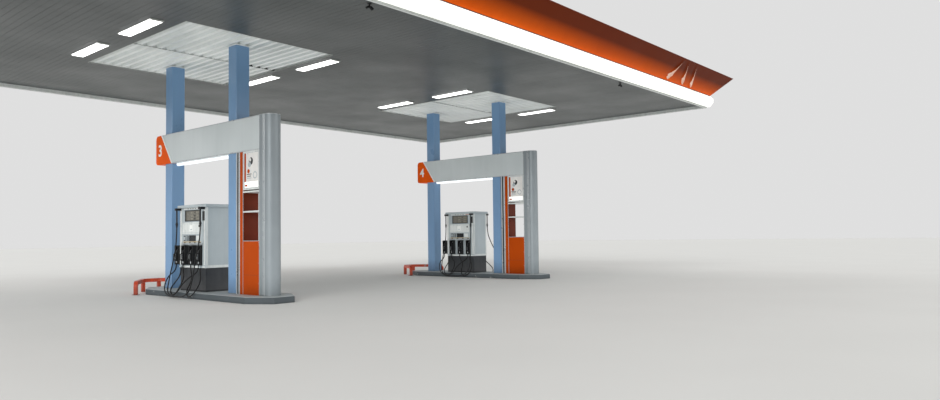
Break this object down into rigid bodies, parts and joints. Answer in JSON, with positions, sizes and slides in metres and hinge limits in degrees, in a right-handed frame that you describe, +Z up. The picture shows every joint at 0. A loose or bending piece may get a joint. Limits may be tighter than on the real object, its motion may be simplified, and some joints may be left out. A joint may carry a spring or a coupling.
{
  "type": "filling station canopy",
  "caption": "Flat roofed filling station canopy with a flared fascia and lit edge strip, on box columns over kerbed islands with portals, dispensers and guard rails.",
  "frame": {"origin": "on the ground under the middle of the roof", "axes": "+X along the long side of the roof, +Y away from the side with the rounded island noses, +Z up"},
  "size_m": [22.618, 15.003, 7.006],
  "materials": {
    "black_plastic": "black",
    "cap_metal": "satin",
    "ceiling_sheet": "coated profiled sheet",
    "column_paint": "gloss steel blue",
    "concrete": "painted concrete, worn",
    "edge_trim": "satin pale grey paint",
    "hood_paint": "satin grey",
    "hose_rubber": "black",
    "lamp": "lit white diffuser",
    "light_box": "lit panel",
    "nozzle": "black grip and sleeve",
    "orange_paint": "satin orange",
    "plinth_paint": "dark grey",
    "pump_paint": "satin light grey",
    "rail_paint": "orange red paint, worn",
    "roof_sheet": "coated profiled sheet",
    "shelf_metal": "satin pale grey",
    "silver_paint": "metallic silver",
    "soffit": "satin grey lining boards",
    "steelwork": "grey primer",
    "strip_plastic": "opal white",
    "trim_metal": "satin"
  },
  "bodies": {
    "root": {"ceiling_deck": "ceiling_sheet", "ceiling_lights": "lamp", "columns": "column_paint", "cross_beams": "steelwork", "dispenser_bases": "plinth_paint", "dispenser_hoods": "hood_paint", "dispensers": "pump_paint", "edge_beam": "edge_trim", "fascia_brackets": "steelwork", "fascia_cap": "cap_metal", "fascia_panels": "orange_paint", "front_spots": "black_plastic", "guard_rails": "rail_paint", "header_ends": "orange_paint", "header_tubes": "lamp", "headers": "silver_paint", "hose_arms": "black_plastic", "hose_left_1": "hose_rubber", "hose_left_2": "hose_rubber", "hose_left_3": "hose_rubber", "hose_left_4": "hose_rubber", "hose_left_5": "hose_rubber", "hose_left_6": "hose_rubber", "hose_left_7": "hose_rubber", "hose_left_8": "hose_rubber", "hose_right_1": "hose_rubber", "hose_right_2": "hose_rubber", "hose_right_3": "hose_rubber", "hose_right_4": "hose_rubber", "hose_right_5": "hose_rubber", "hose_right_6": "hose_rubber", "hose_right_7": "hose_rubber", "hose_right_8": "hose_rubber", "kerbs": "concrete", "light_boxes": "light_box", "light_strips": "strip_plastic", "main_beams": "steelwork", "niche_shelves": "shelf_metal", "nozzle_boots": "black_plastic", "nozzles": "nozzle", "pylon_frames": "orange_paint", "pylon_noses": "silver_paint", "pylon_trims": "trim_metal", "roof_deck": "roof_sheet", "soffit_lining": "soffit"}
  },
  "joints": []
}
